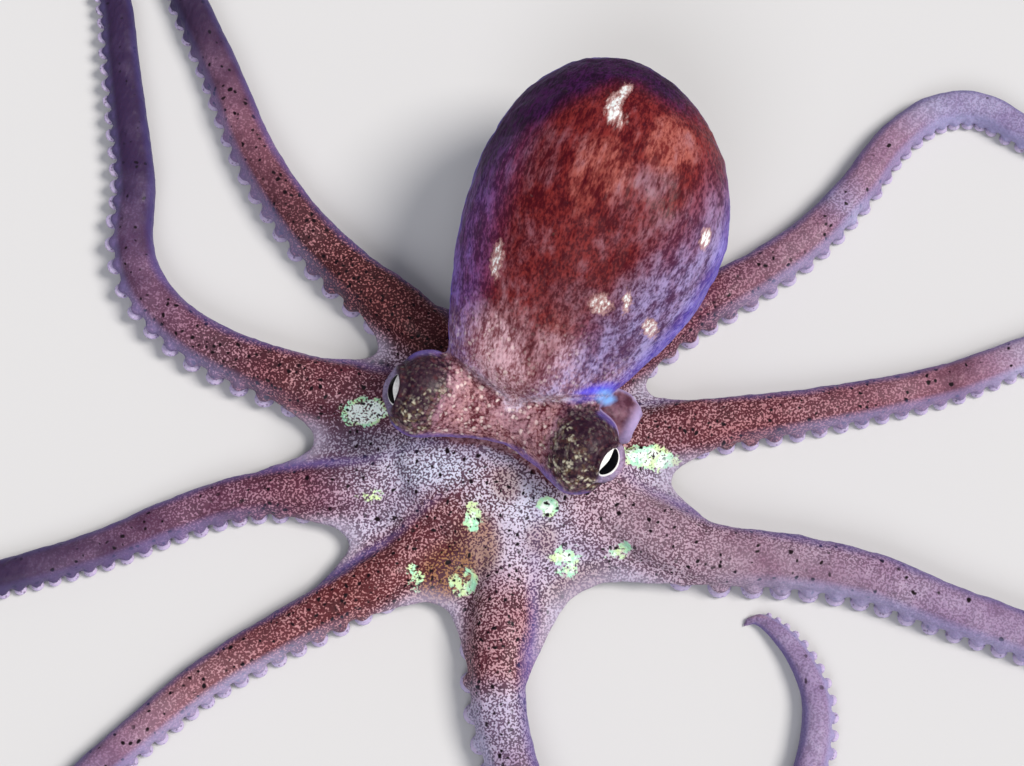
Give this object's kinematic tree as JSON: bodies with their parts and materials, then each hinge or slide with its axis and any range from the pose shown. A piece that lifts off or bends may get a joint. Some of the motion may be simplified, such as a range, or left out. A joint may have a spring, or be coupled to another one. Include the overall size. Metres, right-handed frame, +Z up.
{
  "type": "small benthic octopus, young animal, still display model",
  "caption": "Still life-size octopus crawling with its eight arms spread flat, suckered undersides, webbed crown, bulging eyes and a raised pear-shaped mantle.",
  "frame": {"origin": "on the floor under the middle of the model's outline", "axes": "+Z up; +X towards the animal's left arms, +Y the way the mantle trails, so the animal faces roughly -Y"},
  "size_m": [0.1578, 0.1348, 0.0231],
  "materials": {
    "skin": "moist satin skin, brick red to purple, densely speckled with dark chromatophores, violet sides",
    "web_skin": "thin moist pale lavender skin with fine dark dots and a few pale green iridescent spots",
    "funnel_skin": "soft moist pinkish skin with a pale rim",
    "eye": "wet glossy eye, silver-white iris with a black bar-shaped pupil"
  },
  "bodies": {
    "root": {"arm_crown": "web_skin", "arm_l1_base": "skin", "arm_l1_bend": "skin", "arm_l1_middle": "skin", "arm_l1_outer": "skin", "arm_l1_tip": "skin", "arm_l2_base": "skin", "arm_l2_middle": "skin", "arm_l2_outer": "skin", "arm_l2_tip": "skin", "arm_l3_base": "skin", "arm_l3_middle": "skin", "arm_l3_outer": "skin", "arm_l3_tip": "skin", "arm_l4_base": "skin", "arm_l4_middle": "skin", "arm_l4_outer": "skin", "arm_l4_tip": "skin", "arm_r1_base": "skin", "arm_r1_middle": "skin", "arm_r1_outer": "skin", "arm_r1_tip": "skin", "arm_r2_base": "skin", "arm_r2_middle": "skin", "arm_r2_outer": "skin", "arm_r2_tip": "skin", "arm_r3_base": "skin", "arm_r3_middle": "skin", "arm_r3_outer": "skin", "arm_r3_tip": "skin", "arm_r4_base": "skin", "arm_r4_middle": "skin", "arm_r4_outer": "skin", "arm_r4_tip": "skin", "eye_left": "eye", "eye_right": "eye", "funnel": "funnel_skin", "head": "skin", "mantle": "skin", "web_l1_l2": "web_skin", "web_l2_l3": "web_skin", "web_l3_l4": "web_skin", "web_l4_r4": "web_skin", "web_r1_l1": "web_skin", "web_r2_r1": "web_skin", "web_r3_r2": "web_skin", "web_r4_r3": "web_skin"}
  },
  "joints": []
}
